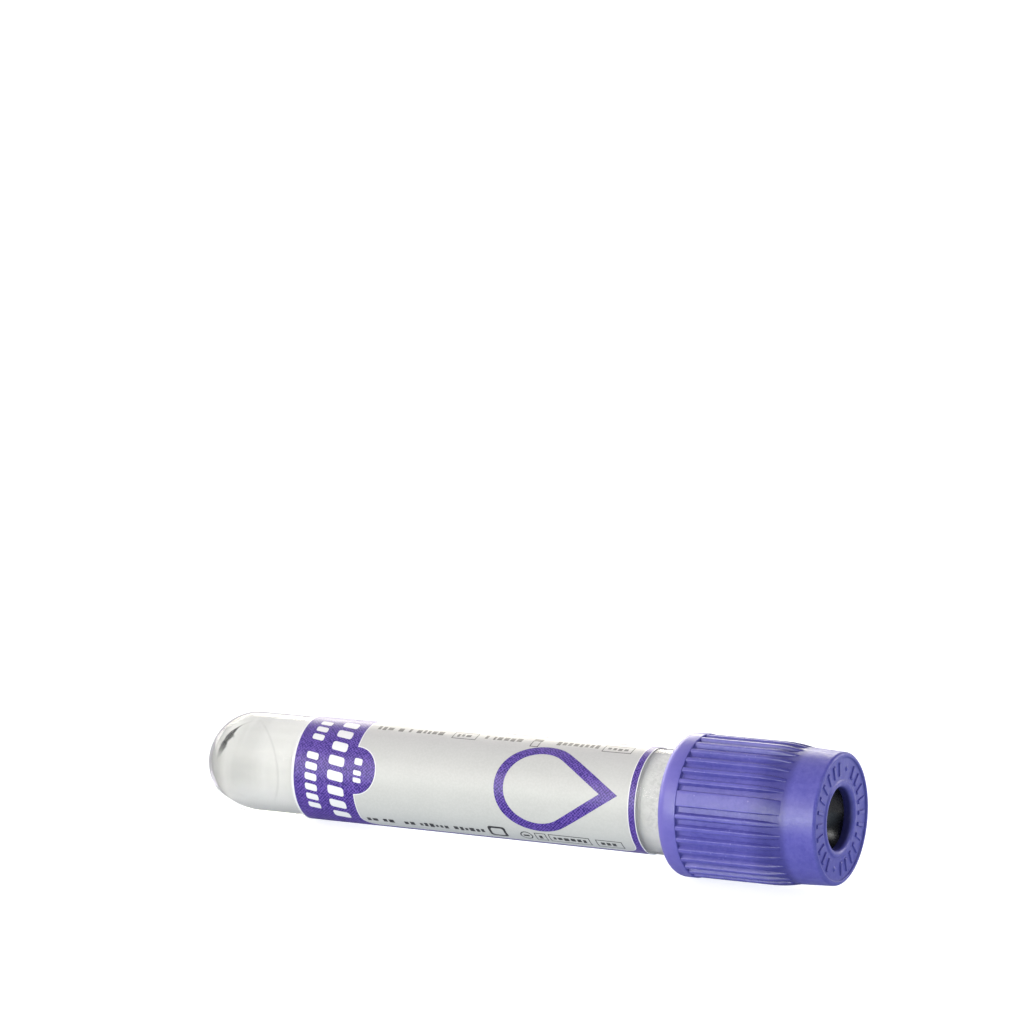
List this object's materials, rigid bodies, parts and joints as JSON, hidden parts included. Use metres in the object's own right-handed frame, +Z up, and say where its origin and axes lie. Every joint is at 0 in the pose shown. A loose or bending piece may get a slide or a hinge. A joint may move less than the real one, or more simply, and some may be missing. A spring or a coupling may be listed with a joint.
{
  "type": "blood collection tube",
  "caption": "Clear round-bottom blood collection tube lying at rest, with a ribbed purple push-on safety cap, a rubber stopper and a wrapped printed label",
  "frame": {"origin": "bottom centre of the bounding box: the floor under the middle of the lying tube", "axes": "+X along the floor towards the cap, +Y across (the printed panel faces -Y and a little up), +Z up. The tube's own axis rises towards the cap by 2.37 degrees, as it does at rest on the cap's band and the round end"},
  "size_m": [0.0864, 0.0176, 0.018],
  "materials": {
    "clear_plastic": "clear, glossy, lightly misted inside by dried additive",
    "label_film": "coated film, satin, printed in purple and black",
    "cap_plastic": "moulded, satin",
    "stopper_rubber": "smooth moulded, low sheen"
  },
  "bodies": {
    "tube_body": {"tube": "clear_plastic", "label": "label_film"},
    "closure": {"cap": "cap_plastic", "stopper": "stopper_rubber"}
  },
  "joints": [
    {"name": "closure_pull", "type": "slide", "parent": "tube_body", "child": "closure", "axis": [0.9991, 0, 0.0413], "range_m": [0, 0.03]}
  ]
}
